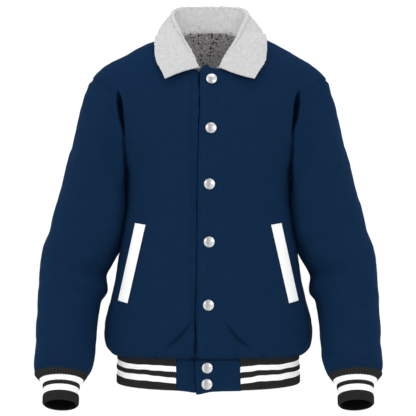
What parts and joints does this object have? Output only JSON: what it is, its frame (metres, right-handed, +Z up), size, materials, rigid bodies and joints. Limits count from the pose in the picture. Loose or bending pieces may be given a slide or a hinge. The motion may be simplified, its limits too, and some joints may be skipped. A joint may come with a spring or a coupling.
{
  "type": "varsity jacket",
  "caption": "Snap-front varsity jacket in worn form, hollow, with a fold-over fleece collar, set-in sleeves, slanted pocket welts and striped ribbed cuffs and hem.",
  "frame": {"origin": "between the shoulders at the base of the neck, where the wearer holds the jacket up; the collar stands above it and the body hangs below", "axes": "+Z up along the wearer's spine, -Y the way the front faces, +X the wearer's left"},
  "size_m": [0.679, 0.2498, 0.8036],
  "materials": {
    "wool": "napped navy wool",
    "rib_knit": "charcoal rib knit with two white stripes",
    "collar_fleece": "pale grey short fleece",
    "lining_fleece": "mid grey flecked fleece",
    "welt": "smooth white trim",
    "snap_metal": "pearly satin"
  },
  "bodies": {
    "root": {"back": "wool", "collar": "collar_fleece", "cuff_left": "rib_knit", "cuff_right": "rib_knit", "front_left": "wool", "front_right": "wool", "hem_rib": "rib_knit", "hem_tab_left": "wool", "hem_tab_right": "wool", "lining_back": "lining_fleece", "pocket_welt_left": "welt", "pocket_welt_right": "welt", "sleeve_left": "wool", "sleeve_right": "wool", "snap_1": "snap_metal", "snap_2": "snap_metal", "snap_3": "snap_metal", "snap_4": "snap_metal", "snap_5": "snap_metal", "snap_6": "snap_metal", "snap_7": "snap_metal"}
  },
  "joints": []
}
